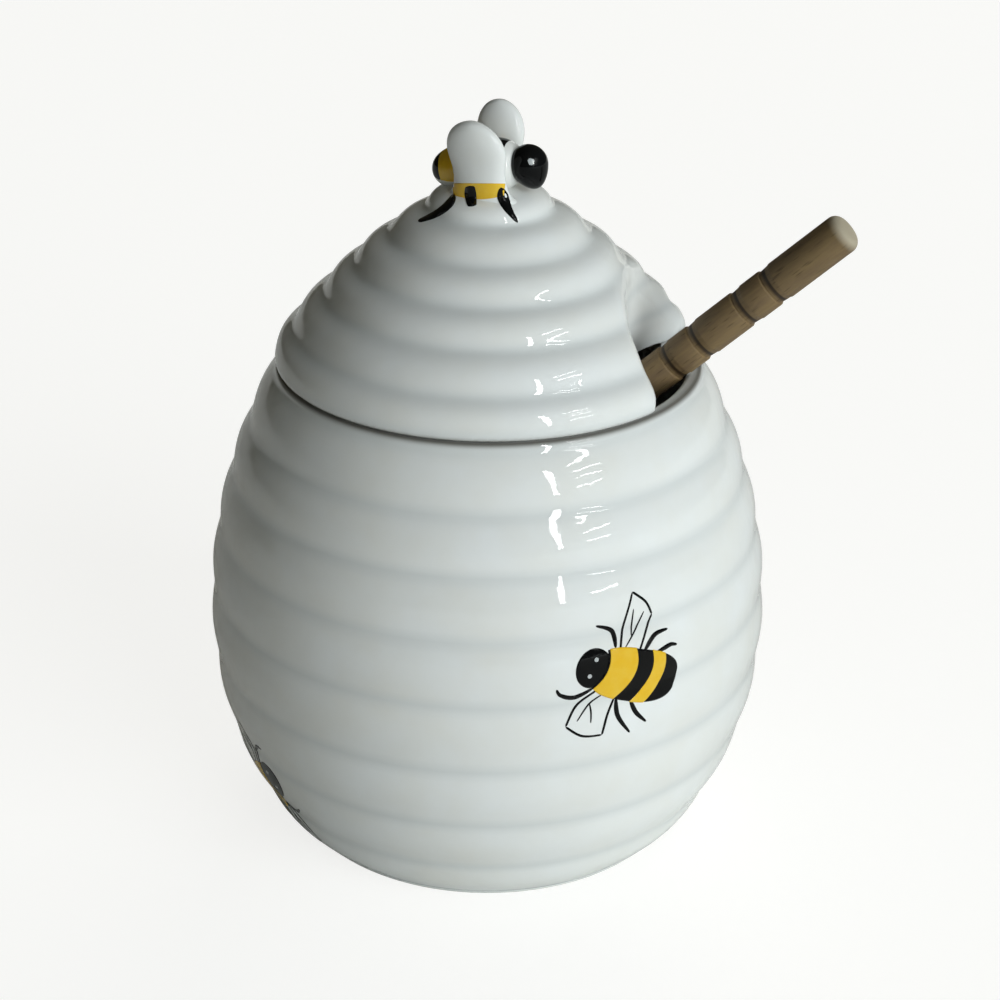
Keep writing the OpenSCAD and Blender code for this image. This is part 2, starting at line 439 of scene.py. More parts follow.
@dataclass(frozen=True)
class TurnedBeech:
    """Beech turned on a lathe and left bare.

    The eye gets a dull grey brown with the short dark flecks of beech along the stick, a soft
    grain under them, painted shade beside each turned band, and a paler painted light at the tip.
    """

    light: str = "#7c6743"
    dark: str = "#64513a"
    fleck: str = "#43351f"
    # Painted light: the pale colour that the tip is drawn in.
    end: str = "#a69c86"
    # Painted shade: a dark line beside each turned band, where its small step lies in shadow.
    step_shade: str = "#6b5b45"
    fleck_mm: float = 0.55
    grain_mm: float = 1.6
    lean: float = 43.0
    # Where the tip lies along the stick's direction, measured from the frame's origin.
    tip_mm: float = 138.2
    # How far the turned bands, and the stretch that holds them, lie from the tip.
    bands: tuple[float, ...] = (43, 36, 25, 18)
    banded: tuple[float, float] = (46, 15)
    tip_light_mm: float = 1.6
    dullness: float = 0.62

    def step_shade_stops(self) -> list[tuple[float, str]]:
        """Return the stops of the painted shade beside each band, where the band's small step lies
        in shadow.

        Returns:
            Places from 0 to 1 over the banded stretch, with their shades.
        """
        low, high = self.banded
        bare = "#ffffff"
        stops = [(0.0, bare)]
        for band in self.bands:
            line = ((0.35, bare), (0.95, self.step_shade), (1.3, self.step_shade), (1.5, bare))
            stops += [((low - band + away) / (low - high), shade) for away, shade in line]
        return stops

    def make(self) -> bpy.types.Material:
        """Return the material."""
        material, tree, shader = new_material("bare_turned_beech")
        place = add(tree, "ShaderNodeTexCoord").outputs["Object"]
        along = add(
            tree,
            "ShaderNodeMapping",
            {"Vector": place, "Rotation": (0.0, -math.radians(90 - self.lean), 0.0)},
        ).outputs["Vector"]
        drawn = add(
            tree, "ShaderNodeMapping", {"Vector": along, "Scale": (1.0, 1.0, 0.12)}
        ).outputs["Vector"]
        grain = add(
            tree,
            "ShaderNodeTexNoise",
            {"Vector": drawn, "Scale": 1 / (self.grain_mm * MM), "Detail": 6.0,
             "Roughness": 0.65, "Distortion": 0.4},
        )
        tone = ramp(tree, grain.outputs["Fac"], [(0.3, self.dark), (0.7, self.light)])
        flecks = add(
            tree,
            "ShaderNodeTexVoronoi",
            {"Vector": drawn, "Scale": 1 / (self.fleck_mm * MM), "Randomness": 1.0},
        )
        mark = add(
            tree,
            "ShaderNodeMapRange",
            {"Value": flecks.outputs["Distance"], "From Min": 0.08, "From Max": 0.3,
             "To Min": 0.7, "To Max": 0.0},
        )
        colour = add(
            tree,
            "ShaderNodeMix",
            {"Factor": mark.outputs["Result"], "A": tone, "B": linear(self.fleck)},
            data_type="RGBA",
        )
        height = add(tree, "ShaderNodeSeparateXYZ", {0: along}).outputs["Z"]
        stretch = add(
            tree,
            "ShaderNodeMapRange",
            {"Value": height, "From Min": (self.tip_mm - self.banded[0]) * MM,
             "From Max": (self.tip_mm - self.banded[1]) * MM},
        )
        # Painted shade beside each band, multiplied over the wood's colour.
        step_shaded = add(
            tree,
            "ShaderNodeMix",
            {"Factor": 1.0, "A": colour.outputs["Result"],
             "B": ramp(tree, stretch.outputs["Result"], self.step_shade_stops())},
            data_type="RGBA",
            blend_type="MULTIPLY",
        )
        # Painted light at the tip: the last stretch turns to the pale colour.
        tip_light = add(
            tree,
            "ShaderNodeMapRange",
            {"Value": height, "From Min": (self.tip_mm - self.tip_light_mm) * MM,
             "From Max": self.tip_mm * MM},
        )
        capped = add(
            tree,
            "ShaderNodeMix",
            {"Factor": tip_light.outputs["Result"], "A": step_shaded.outputs["Result"],
             "B": linear(self.end)},
            data_type="RGBA",
        )
        bump = add(
            tree,
            "ShaderNodeBump",
            {"Height": grain.outputs["Fac"], "Strength": 0.5, "Distance": 0.0002},
        )
        tree.links.new(capped.outputs["Result"], shader.inputs["Base Color"])
        tree.links.new(bump.outputs["Normal"], shader.inputs["Normal"])
        shader.inputs["Roughness"].default_value = self.dullness
        return material


@dataclass
class Finishes:
    """One made material for each finish of the object."""

    white: bpy.types.Material
    black: bpy.types.Material
    yellow: bpy.types.Material
    eye: bpy.types.Material
    wood: bpy.types.Material

    @classmethod
    def made(cls) -> "Finishes":
        """Return the finishes with their materials."""
        return cls(
            white=WhiteGlaze().make(),
            # The photograph's blacks hardly mirror the room, so their glass is a thin one.
            black=CeramicColour("black_underglaze_colour", "#070809", "#100f0e", ior=1.28).make(),
            yellow=CeramicColour("yellow_underglaze_colour", "#dcae1f", "#dfba3a").make(),
            eye=CeramicColour("grey_underglaze_dot", "#a9adac", "#b5b8b6").make(),
            wood=TurnedBeech().make(),
        )


# ---- the hive ----


@dataclass
class Hive:
    """The hive's shared sizes, in millimetres, as the CAD model has them."""

    pot_h: float = 99.0
    rim_r: float = 42.0
    belly_r: float = 56.0
    belly_z: float = 46.0
    foot_r: float = 42.0
    foot_h: float = 1.5
    foot_w: float = 4.0
    pot_wall: float = 3.2
    floor_t: float = 4.0
    pot_coil_h: float = 0.85
    lid_coil_h: float = 1.0
    lip_r: float = 1.2
    seat_gap: float = 0.1
    pot_coils: tuple[float, ...] = (10.6, 13.2, 13.7, 14.2, 13, 12, 10.7, 11)
    coil_steps: int = 12

    @property
    def mouth_r(self) -> float:
        """Radius of the mouth."""
        return self.rim_r - self.pot_wall

    @property
    def lid_z(self) -> float:
        """Height of the lid's rim."""
        return self.pot_h + self.seat_gap

    @property
    def grooves(self) -> list[Point2]:
        """Radius and height of the pot's grooves, from the foot to the rim."""
        reach, total, height = self.pot_h - self.lip_r - self.foot_h, sum(self.pot_coils), 0.0
        places = [self.foot_h]
        for share in self.pot_coils:
            height += share
            places.append(self.foot_h + reach * height / total)
        return [(self.line(z), z) for z in places]

    def line(self, z: float) -> float:
        """Return the pot's radius in its grooves at height z."""
        if z < self.belly_z:
            share = 1 - max(z - self.foot_h, 0) / (self.belly_z - self.foot_h)
            return self.belly_r - (self.belly_r - self.foot_r) * share**2.4
        share = (z - self.belly_z) / (self.pot_h - self.lip_r - self.belly_z)
        return self.belly_r - (self.belly_r - self.rim_r) * share**2

    def coils(self, grooves: Sequence[Point2], depth: float) -> list[Point2]:
        """Bow each stretch between two grooves outwards.

        Args:
            grooves: Radius and height of each groove.
            depth: How far a coil stands out of its grooves.

        Returns:
            The outline, without the last groove.
        """
        outline = []
        for (r0, z0), (r1, z1) in zip(grooves, grooves[1:]):
            length = math.hypot(r1 - r0, z1 - z0)
            out_r, out_z = (z1 - z0) / length, (r0 - r1) / length
            for i in range(self.coil_steps):
                t = i / self.coil_steps
                bow = 0.75 * math.sin(math.pi * t) + 0.125 * (1 - math.cos(math.tau * t))
                bow *= depth
                outline.append(
                    (r0 + (r1 - r0) * t + out_r * bow, z0 + (z1 - z0) * t + out_z * bow)
                )
        return outline


def mark_glaze(
    piece: bpy.types.Object, heights: Sequence[float], width: float, rim: Point2,
    gap_shade_w: float = 0.75,
) -> None:
    """Store the painted groove shade by how deep each point lies in a groove, and the painted gap
    shade by how near it is to the rim where pot and lid meet.

    Args:
        piece: The ringed piece.
        heights: Heights of the grooves in millimetres.
        width: How far the painted groove shade reaches up and down, in millimetres.
        rim: Radius and height of the rim that meets the other piece.
        gap_shade_w: How far the brown painted shade along that rim reaches, in millimetres.
    """
    groove_shade = piece.data.attributes.new("groove_shade", "FLOAT", "POINT")
    seam = piece.data.attributes.new("seam", "FLOAT", "POINT")
    for vertex, deep, gap_shaded in zip(piece.data.vertices, groove_shade.data, seam.data):
        x, y, z = vertex.co / MM
        # Painted groove shade, strongest at the bottom of each groove.
        deep.value = max(math.exp(-(((z - h) / width) ** 2)) for h in heights)
        # Painted shade of the gap: dark brown close to the rim where the two pieces meet.
        away = math.hypot(math.hypot(x, y) - rim[0], z - rim[1])
        gap_shaded.value = 0.9 * math.exp(-((away / gap_shade_w) ** 2))


@dataclass
class Pot:
    """The ringed pot with its foot ring, floor and rounded rim."""

    hive: Hive
    finishes: Finishes
    corner_w: float = 16.0
    corner_h: float = 10.0
    segments: int = 256

    def outline(self) -> list[Point2]:
        """Return the whole section, from the underside's middle round to the floor's."""
        hive = self.hive
        ring, lip = hive.foot_r - 1, hive.lip_r
        floor_z = hive.foot_h + hive.floor_t
        top = hive.pot_h - lip
        low = floor_z + self.corner_h
        foot = [
            (0.0, hive.foot_h),
            (ring - hive.foot_w - 0.2, hive.foot_h),
            (ring - hive.foot_w + 0.1, hive.foot_h - 0.4),
            (ring - hive.foot_w + 0.4, 0.3),
            (ring - hive.foot_w + 0.9, 0.0),
            (ring - 0.9, 0.0),
            (ring - 0.3, 0.15),
            (ring, 0.5),
            (ring + 0.1, hive.foot_h),
        ]
        wall = [
            (hive.line(z) - hive.pot_wall, z)
            for z in (top - (top - low) * i / 30 for i in range(30))
        ]
        corner = [
            (
                hive.line(low) - hive.pot_wall - self.corner_w * (1 - math.sin(a)),
                floor_z + self.corner_h * (1 - math.cos(a)),
            )
            for a in (math.radians(90 * i / 12) for i in range(12, -1, -1))
        ]
        return [
            *foot,
            *hive.coils(hive.grooves, hive.pot_coil_h),
            *arc((hive.rim_r - lip, top), lip, 0, 90, 6),
            *arc((hive.mouth_r + lip, top), lip, 90, 180, 6),
            *wall[1:],
            *corner,
            (0.0, floor_z),
        ]

    def build(self) -> bpy.types.Object:
        """Make the pot and let it stand for the CAD pot."""
        piece = finished("glazed_pot", spun(self.outline(), self.segments), self.finishes.white)
        rim = (self.hive.rim_r - 0.6, self.hive.pot_h)
        mark_glaze(piece, [z for _, z in self.hive.grooves], 1.3, rim)
        place(piece, Body.POT, Slot.WHITE, "pot")
        return piece


@dataclass
class Lid:
    """The ringed lid with its locating flange and the scooped niche for the dipper."""

    hive: Hive
    finishes: Finishes
    lid_h: float = 35.6
    wall: float = 3.4
    flange_h: float = 5.0
    flange_t: float = 2.8
    mouth_gap: float = 0.6
    scoop_r: float = 20.5
    notch_depth: float = 15.0
    notch_wall: float = 3.2
    notch_lip: float = 4.5
    notch_corner: float = 3.0
    groove_shares: tuple[Point2, ...] = (
        (0.907, 0.201), (0.762, 0.389), (0.62, 0.556), (0.468, 0.716), (0.285, 0.869),
    )
    segments: int = 320
    grain: float = 0.5
    lip_reach: float = 3.6
    # Shares of that reach, and how often the vertices within each are smoothed.
    sponging: tuple[tuple[float, int], ...] = ((1.0, 14), (0.8, 14), (0.6, 16), (0.4, 10))

    @property
    def crown_z(self) -> float:
        """Height of the lid's crown."""
        return self.hive.lid_z + self.lid_h

    @property
    def grooves(self) -> list[Point2]:
        """Radius and height of the lid's grooves, from the rim to the crown."""
        z = self.hive.lid_z
        first = (self.hive.rim_r, z + self.hive.lip_r)
        return [first, *((self.hive.rim_r * r, z + self.lid_h * h) for r, h in self.groove_shares)]

    def outside(self) -> list[Point2]:
        """Return the section of the lid's outside, from the rim to the crown's middle."""
        hive, lip = self.hive, self.hive.lip_r
        last_r, last_z = self.grooves[-1]
        steps = hive.coil_steps
        angles = [math.pi / 2 * i / steps for i in range(steps)]
        crown = [
            (
                last_r * math.cos(a) ** (2 / 2.4),
                last_z + (self.crown_z - last_z) * math.sin(a) ** (2 / 2.4),
            )
            for a in angles
        ]
        crown.append((0.0, self.crown_z))
        rim = arc((hive.rim_r - lip, hive.lid_z + lip), lip, -90, 0, 6)
        return [*rim[:-1], *hive.coils(self.grooves, hive.lid_coil_h), *crown]

    def shell(self) -> list[Point2]:
        """Return the section of the hollow lid with its flange, as a closed chain."""
        z, flange_r = self.hive.lid_z, self.hive.mouth_r - self.mouth_gap
        inner = flange_r - self.flange_t
        points = self.grooves
        hollow = [(0.0, self.crown_z - self.wall)]
        for i in range(len(points) - 1, 1, -1):
            (r0, z0), (r1, z1) = points[i - 1], points[min(i + 1, len(points) - 1)]
            length = math.hypot(r1 - r0, z1 - z0)
            r, h = points[i]
            hollow.append((r - self.wall * (z1 - z0) / length, h - self.wall * (r0 - r1) / length))
        flange = [
            (inner, z - self.flange_h + 0.6),
            (inner + 0.2, z - self.flange_h + 0.2),
            (inner + 0.6, z - self.flange_h),
            (flange_r - 0.6, z - self.flange_h),
            (flange_r - 0.2, z - self.flange_h + 0.2),
            (flange_r, z - self.flange_h + 0.6),
            (flange_r, z),
        ]
        return [*self.outside(), *hollow, (inner, points[1][1] - 1), *flange, self.outside()[0]]

    @property
    def scoop_x(self) -> float:
        """Distance of the scoop's axis from the pot's."""
        return self.hive.rim_r - self.notch_depth + self.scoop_r

    def column(self, radius: float, low: float, high: float) -> bpy.types.Object:
        """Return an upright cylinder on the scoop's axis, as a tool."""
        form = bmesh.new()
        middle = Matrix.Translation((self.scoop_x * MM, 0.0, (low + high) / 2 * MM))
        bmesh.ops.create_cone(
            form,
            cap_ends=True,
            segments=360,
            radius1=radius * MM,
            radius2=radius * MM,
            depth=(high - low) * MM,
            matrix=middle,
        )
        return finished("scoop_tool", form)

    def side_lip(self) -> tuple[Vector, Vector]:
        """Return the middle of a side lip's rounding, seen from above, and the way it looks."""
        rim, scoop, x = self.hive.rim_r, self.scoop_r, self.scoop_x
        angle = math.acos((rim**2 + x**2 - scoop**2) / (2 * rim * x))
        out = Vector((math.cos(angle), math.sin(angle)))
        inner = (Vector((x, 0.0)) - rim * out) / scoop
        middle = rim * out - self.notch_lip * (out + inner) / (1 + out.dot(inner))
        return middle, (out + inner).normalized()

    def lip_ring(self) -> bpy.types.Object:
        """Return the tool that rounds both lips, turned about one leaning ring."""
        hive, lip, points = self.hive, self.notch_lip, self.grooves
        side, _ = self.side_lip()
        (r0, z0), (r1, z1) = points[1], points[-2]
        length = math.hypot(r1 - r0, z1 - z0)
        slope = Vector(((z1 - z0) / length, (r0 - r1) / length))
        top_x = hive.rim_r - self.notch_depth
        for (ra, za), (rb, zb) in zip(points, points[1:]):
            if rb <= top_x <= ra:
                top_z = za + (zb - za) * (ra - top_x) / (ra - rb) + hive.lid_coil_h
        face = Vector((1.0, 0.0))
        top = Vector((top_x, top_z)) - lip * (face + slope) / (1 + face.dot(slope))
        up = (top - Vector((side.x, hive.lid_z + hive.lip_r))).normalized()
        ring = side.y * 0.96
        centre = top - ring * up
        profile = [(0.0, lip * math.sin(math.radians(35)))]
        for i in range(17):
            a = math.radians(35 + 76 * i / 16)
            profile.append((ring - lip * math.cos(a), lip * math.sin(a)))
        profile += [(ring * 2.4, lip), (ring * 2.4, ring * 2), (0.0, ring * 2)]
        form = spun(profile, 200)
        form.transform(
            Matrix.Translation((centre.x * MM, 0.0, centre.y * MM))
            @ Matrix.Rotation(math.atan2(up.y, -up.x), 4, "Y")
        )
        return finished("lip_tool", form)

    def corner_block(self, side: int) -> bpy.types.Object:
        """Return the tool that rounds the corner where a lip meets the rim."""
        middle, way = self.side_lip()
        tip = middle + (self.notch_lip - self.notch_corner) * way
        low, wide = -self.notch_corner - self.flange_h, self.notch_lip * 1.4
        profile = [
            (0.0, low), (self.scoop_r, low), (self.scoop_r, self.notch_lip),
            (self.notch_corner, self.notch_lip), *arc((0.0, 0.0), self.notch_corner, 0, -90, 10),
        ]
        form = bmesh.new()
        edge = [form.verts.new((x * MM, -wide * MM, z * MM)) for x, z in profile]
        face = form.faces.new(edge)
        grown = bmesh.ops.extrude_face_region(form, geom=[face])
        moved = [v for v in grown["geom"] if isinstance(v, bmesh.types.BMVert)]
        bmesh.ops.translate(form, verts=moved, vec=(0.0, 2 * wide * MM, 0.0))
        bmesh.ops.recalc_face_normals(form, faces=form.faces[:])
        stand = Vector((tip.x, side * tip.y, self.hive.lid_z + self.notch_corner)) * MM
        form.transform(
            Matrix.Translation(stand) @ Matrix.Rotation(side * math.atan2(way.y, way.x), 4, "Z")
        )
        return finished("corner_tool", form)

    def soften(self, piece: bpy.types.Object) -> None:
        """Round the niche's lips as the glaze and the sponge round them.

        Args:
            piece: The remeshed lid.
        """
        axis_x = self.scoop_x * MM
        sections = sorted((z, r) for r, z in self.outside())

        def outside_r(z: float) -> float:
            """Return the lid's outer radius at a height in millimetres."""
            for (z0, r0), (z1, r1) in zip(sections, sections[1:]):
                if z0 <= z <= z1 and z1 > z0:
                    return r0 + (r1 - r0) * (z - z0) / (z1 - z0)
            return 0.0

        form = bmesh.new()
        form.from_mesh(piece.data)
        relax(form, form.verts[:], 4)
        near = []
        for vertex in form.verts:
            x, y, z = vertex.co
            to_scoop = abs(math.hypot(x - axis_x, y) / MM - self.scoop_r)
            if z / MM < self.hive.lid_z - 0.2 or to_scoop > self.lip_reach:
                continue
            to_outside = abs(math.hypot(x, y) / MM - outside_r(z / MM)) * 0.8
            if to_outside < self.lip_reach:
                near.append((max(to_scoop, to_outside), vertex))
        for reach, rounds in self.sponging:
            relax(form, [v for far, v in near if far < self.lip_reach * reach], rounds)
        form.to_mesh(piece.data)
        form.free()

    def build(self) -> bpy.types.Object:
        """Make the lid and let it stand for the CAD lid."""
        low, high = self.hive.lid_z, self.crown_z
        piece = finished("glazed_lid", spun(self.shell(), self.segments), self.finishes.white)
        solid = finished(
            "lid_block", spun([(0.0, low), *self.outside()], self.segments), self.finishes.white
        )
        carve(solid, self.column(self.scoop_r + self.notch_wall, low, high + 1), "INTERSECT")
        carve(piece, solid, "UNION")
        carve(piece, self.column(self.scoop_r, low - self.flange_h - 1, high + 1), "DIFFERENCE")
        carve(piece, self.lip_ring(), "DIFFERENCE")
        carve(piece, self.corner_block(1), "DIFFERENCE")
        carve(piece, self.corner_block(-1), "DIFFERENCE")
        skin = piece.modifiers.new("skin", "REMESH")
        skin.mode, skin.voxel_size, skin.use_smooth_shade = "VOXEL", self.grain * MM, True
        settled(piece)
        self.soften(piece)
        piece.data.shade_smooth()
        rim = (self.hive.rim_r - 0.6, self.hive.lid_z)
        mark_glaze(piece, [z for _, z in self.grooves], 1.1, rim)
        place(piece, Body.LID, Slot.WHITE, "lid")
        return piece


# ---- the bee on the lid ----


@dataclass
class LidBee:
    """The bee that serves as the lid's knob: two wings, a painted body and a black head."""

    lid: Lid
    finishes: Finishes
    turn: float = -13.0
    body_len: float = 18.6
    body_rise: float = 12.0
    tail: tuple[float, float, float] = (-11.7, 0.0, 0.9)
    tail_r: float = 4.2
    front_r: float = 5.8
    head: tuple[float, float, float] = (7.9, 0.0, 4.6)
    head_d: float = 7.5
    wing_h: float = 14.1
    wing_half: float = 5.9
    wing_thick: float = 2.3
    wing_lean: float = 11.0
    wing_y: float = 5.6
    wing_low: float = -2.2
    wing_round: float = 5.8
    chin_turn: float = 155.0
    eye_reach: float = 0.17

    @property
    def frame(self) -> Matrix:
        """The bee's own frame: x along the bee, z up, over the lid's crown."""
        return Matrix.Rotation(math.radians(self.turn), 4, "Z") @ Matrix.Translation(
            (0.0, 0.0, self.lid.crown_z * MM)
        )

    def wing(self, name: str, side: int, ahead: float, half: float) -> bpy.types.Object:
        """Make one wing, a thick thumb of clay whose foot runs out into the lid.

        Args:
            name: The name of the piece.
            side: 1 for the bee's left, -1 for its right.
            ahead: How far it stands towards the head, in millimetres.
            half: Half its width.

        Returns:
            The wing.
        """
        high, low, tip = self.wing_h, self.wing_low, self.wing_round
        rows = [low + (high - low) * math.sin(math.pi / 2 * i / 60) for i in range(60)]
        form = spun([(0.0, low), *((1.0, z) for z in rows[1:]), (0.0, high)], 96)
        for vertex in form.verts:
            x, y, z = (c / MM for c in vertex.co)
            girth = math.hypot(x, y)
            above = max(0.0, (z - high + tip) / tip)
            top = math.sqrt(max(0.0, 1 - above * above))
            waist = min(1.0, max(0.0, (high - tip - z) / 5.0))
            foot = math.exp(-max(z + 1.4, 0.0) / 1.3)
            across = (half - 0.7 * waist**2 * (3 - 2 * waist)) * top + 2.0 * foot
            thick = self.wing_thick * (0.35 * top + 0.65 * math.sqrt(top)) + 0.7 * foot
            if girth > 0.5:
                x, y = x / girth * across, y / girth * thick
            vertex.co = Vector((x - 0.004 * z * z, y, z)) * MM
        stand = Matrix.Translation((ahead * MM, side * self.wing_y * MM, 0.0))
        lean = Matrix.Rotation(-side * math.radians(self.wing_lean), 4, "X")
        form.transform(self.frame @ stand @ lean)
        bmesh.ops.recalc_face_normals(form, faces=form.faces[:])
        return finished(name, form, self.finishes.white)

    def coat(self, t: float, side: float) -> int:
        """Return which paint the body has: 0 white, 1 yellow, 2 black.

        Args:
            t: Share of the way from the tail to the front.
            side: Degrees away from the back's middle line.

        Returns:
            The number of the body's material slot.
        """
        if side > 112:
            return 0
        if t < 0.15:
            return 2
        if t < 0.34:
            return 1
        if side > 62:
            return 0
        bands = ((0.46, 2), (0.58, 1), (0.68, 2), (0.76, 1), (0.9, 2))
        return next((paint for end, paint in bands if t < end), 0)

    def body(self) -> bpy.types.Object:
        """Make the body, painted in bands across its back."""
        outline = []
        for i in range(97):
            t = i / 96
            girth = self.tail_r + (self.front_r - self.tail_r) * t
            outline.append((girth * fullness(2 * t - 1), self.body_len * t))
        form = spun(outline, 192)
        for face in form.faces:
            spot = face.calc_center_median()
            side = abs(math.degrees(math.atan2(spot.y, -spot.x)))
            face.material_index = self.coat(spot.z / MM / self.body_len, side)
        form.transform(
            self.frame
            @ Matrix.Translation(Vector(self.tail) * MM)
            @ Matrix.Rotation(math.radians(90 - self.body_rise), 4, "Y")
        )
        finishes = self.finishes
        return finished("bee_on_lid_body", form, finishes.white, finishes.yellow, finishes.black)

    def bead(self) -> bpy.types.Object:
        """Make the head, a bead with its chin drawn down and forwards, and its two pale eyes."""
        r = self.head_d / 2
        form = bmesh.new()
        bmesh.ops.create_uvsphere(form, u_segments=96, v_segments=64, radius=r * MM)
        for vertex in form.verts:
            z = vertex.co.z / (r * MM)
            if z > 0:
                vertex.co.z *= 1 + 0.3 * z
                vertex.co.x *= 1 - 0.12 * z * z
                vertex.co.y *= 1 - 0.12 * z * z
        form.transform(
            Matrix.Translation(Vector(self.head) * MM)
            @ Matrix.Rotation(math.radians(self.chin_turn), 4, "Y")
        )
        eyes = [Vector((0.5, side * 0.8, 0.42)).normalized() for side in (-1, 1)]
        for face in form.faces:
            way = (face.calc_center_median() / MM - Vector(self.head)).normalized()
            face.material_index = int(any(way.angle(eye) < self.eye_reach for eye in eyes))
        form.transform(self.frame)
        return finished("bee_on_lid_head", form, self.finishes.black, self.finishes.eye)

    def build(self) -> list[bpy.types.Object]:
        """Make the bee, let it stand for its CAD nodes, and return what its foot is painted on."""
        left = self.wing("bee_on_lid_left_wing", 1, -0.9, 4.9)
        right = self.wing("bee_on_lid_right_wing", -1, 0.75, self.wing_half)
        body = self.body()
        place(left, Body.LID, Slot.WHITE, "bee_wing_left")
        place(right, Body.LID, Slot.WHITE, "bee_wing_right")
        place(body, Body.LID, Slot.YELLOW, "bee_body")
        place(self.bead(), Body.LID, Slot.BLACK, "bee_head")
        return [right, body]


# ---- painted bees ----


def sheet_form(
    across: int, over: int, shape: Callable[[float, float], Point2]
) -> bmesh.types.BMesh:
    """Make a flat patch by moving the points of a grid.

    Args:
        across: Cells along the first direction.
        over: Cells along the second.
        shape: Where a point of the grid, each way from -1 to 1, goes in millimetres.

    Returns:
        The patch in the plane of x and y, in millimetres.
    """
    form = bmesh.new()
    bmesh.ops.create_grid(form, x_segments=across, y_segments=over, size=1.0)
    for vertex in form.verts:
        x, y = shape(vertex.co.x, vertex.co.y)
        vertex.co = (x, y, 0.0)
    bmesh.ops.remove_doubles(form, verts=form.verts[:], dist=1e-4)
    return form


def smooth_path(points: Sequence[Point2], t: float) -> Vector:
    """Return the point at share t of a smooth curve through the points."""
    along = t * (len(points) - 1)
    i = min(int(along), len(points) - 2)
    u = along - i
    p = [Vector(points[min(max(k, 0), len(points) - 1)]) for k in (i - 1, i, i + 1, i + 2)]
    return 0.5 * (
        2 * p[1]
        + (p[2] - p[0]) * u
        + (2 * p[0] - 5 * p[1] + 4 * p[2] - p[3]) * u * u
        + (3 * p[1] - p[0] - 3 * p[2] + p[3]) * u**3
    )


def stroke_form(
    points: Sequence[Point2], thin: float, thick: float, belly: float = 0.4
) -> bmesh.types.BMesh:
    """Make one brush stroke along a path.

    Args:
        points: The path in millimetres.
        thin: Width at both ends.
        thick: Width at its widest.
        belly: Share of the length at which it is widest.

    Returns:
        The stroke as a flat patch in millimetres.
    """

    def shape(x: float, y: float) -> Point2:
        """Place a point of the grid beside the path."""
        t = (x + 1) / 2
        here = smooth_path(points, t)
        ahead = smooth_path(points, min(t + 0.01, 1.0)) - smooth_path(points, max(t - 0.01, 0.0))
        side = Vector((-ahead.y, ahead.x)).normalized()
        share = t / belly if t < belly else (1 - t) / (1 - belly)
        width = thin + (thick - thin) * math.sin(math.pi / 2 * max(share, 0.0))
        round_end = min(1.0, math.sqrt(max(0.0, min(t, 1 - t) * 14)))
        spot = here + side * (y * width * round_end / 2)
        return spot.x, spot.y

    return sheet_form(12 * (len(points) - 1), 2, shape)


def painted(
    name: str, forms: list[bmesh.types.BMesh], carriers: Sequence[bpy.types.Object],
    throw: Callable[[float, float], tuple[Vector, Vector]], lift: float,
    material: bpy.types.Material,
) -> bpy.types.Object:
    """Lay flat patches on the surface of the pieces that carry them.

    Args:
        name: The name of the painted piece.
        forms: The patches in millimetres, freed here.
        carriers: What is painted on.
        throw: Where a point of a patch starts, and which way it goes to the surface.
        lift: How far the film's foot stands off the surface, in millimetres.
        material: Its colour.

    Returns:
        The painted piece.
    """
    base, whole = bmesh.new(), bmesh.new()
    for carrier in carriers:
        base.from_mesh(carrier.data)
    surface = BVHTree.FromBMesh(base)
    base.free()
    for form in forms:
        flat = bpy.data.meshes.new("patch")
        form.to_mesh(flat)
        form.free()
        whole.from_mesh(flat)
        bpy.data.meshes.remove(flat)
    lost = []
    for vertex in whole.verts:
        start, way = throw(vertex.co.x, vertex.co.y)
        spot, normal, _, _ = surface.ray_cast(start, way)
        if spot is None:
            lost.append(vertex)
        else:
            outward = -normal if normal.dot(way) > 0 else normal
            vertex.co = spot + outward * lift * MM
    bmesh.ops.delete(whole, geom=lost, context="VERTS")
    bmesh.ops.recalc_face_normals(whole, faces=whole.faces[:])
    _, way = throw(0.0, 0.0)
    bmesh.ops.reverse_faces(whole, faces=[f for f in whole.faces if f.normal.dot(way) > 0])
    piece = finished(name, whole, material)
    film = piece.modifiers.new("film", "SOLIDIFY")
    film.thickness, film.offset = FILM_MM * MM, -1.0
    return piece


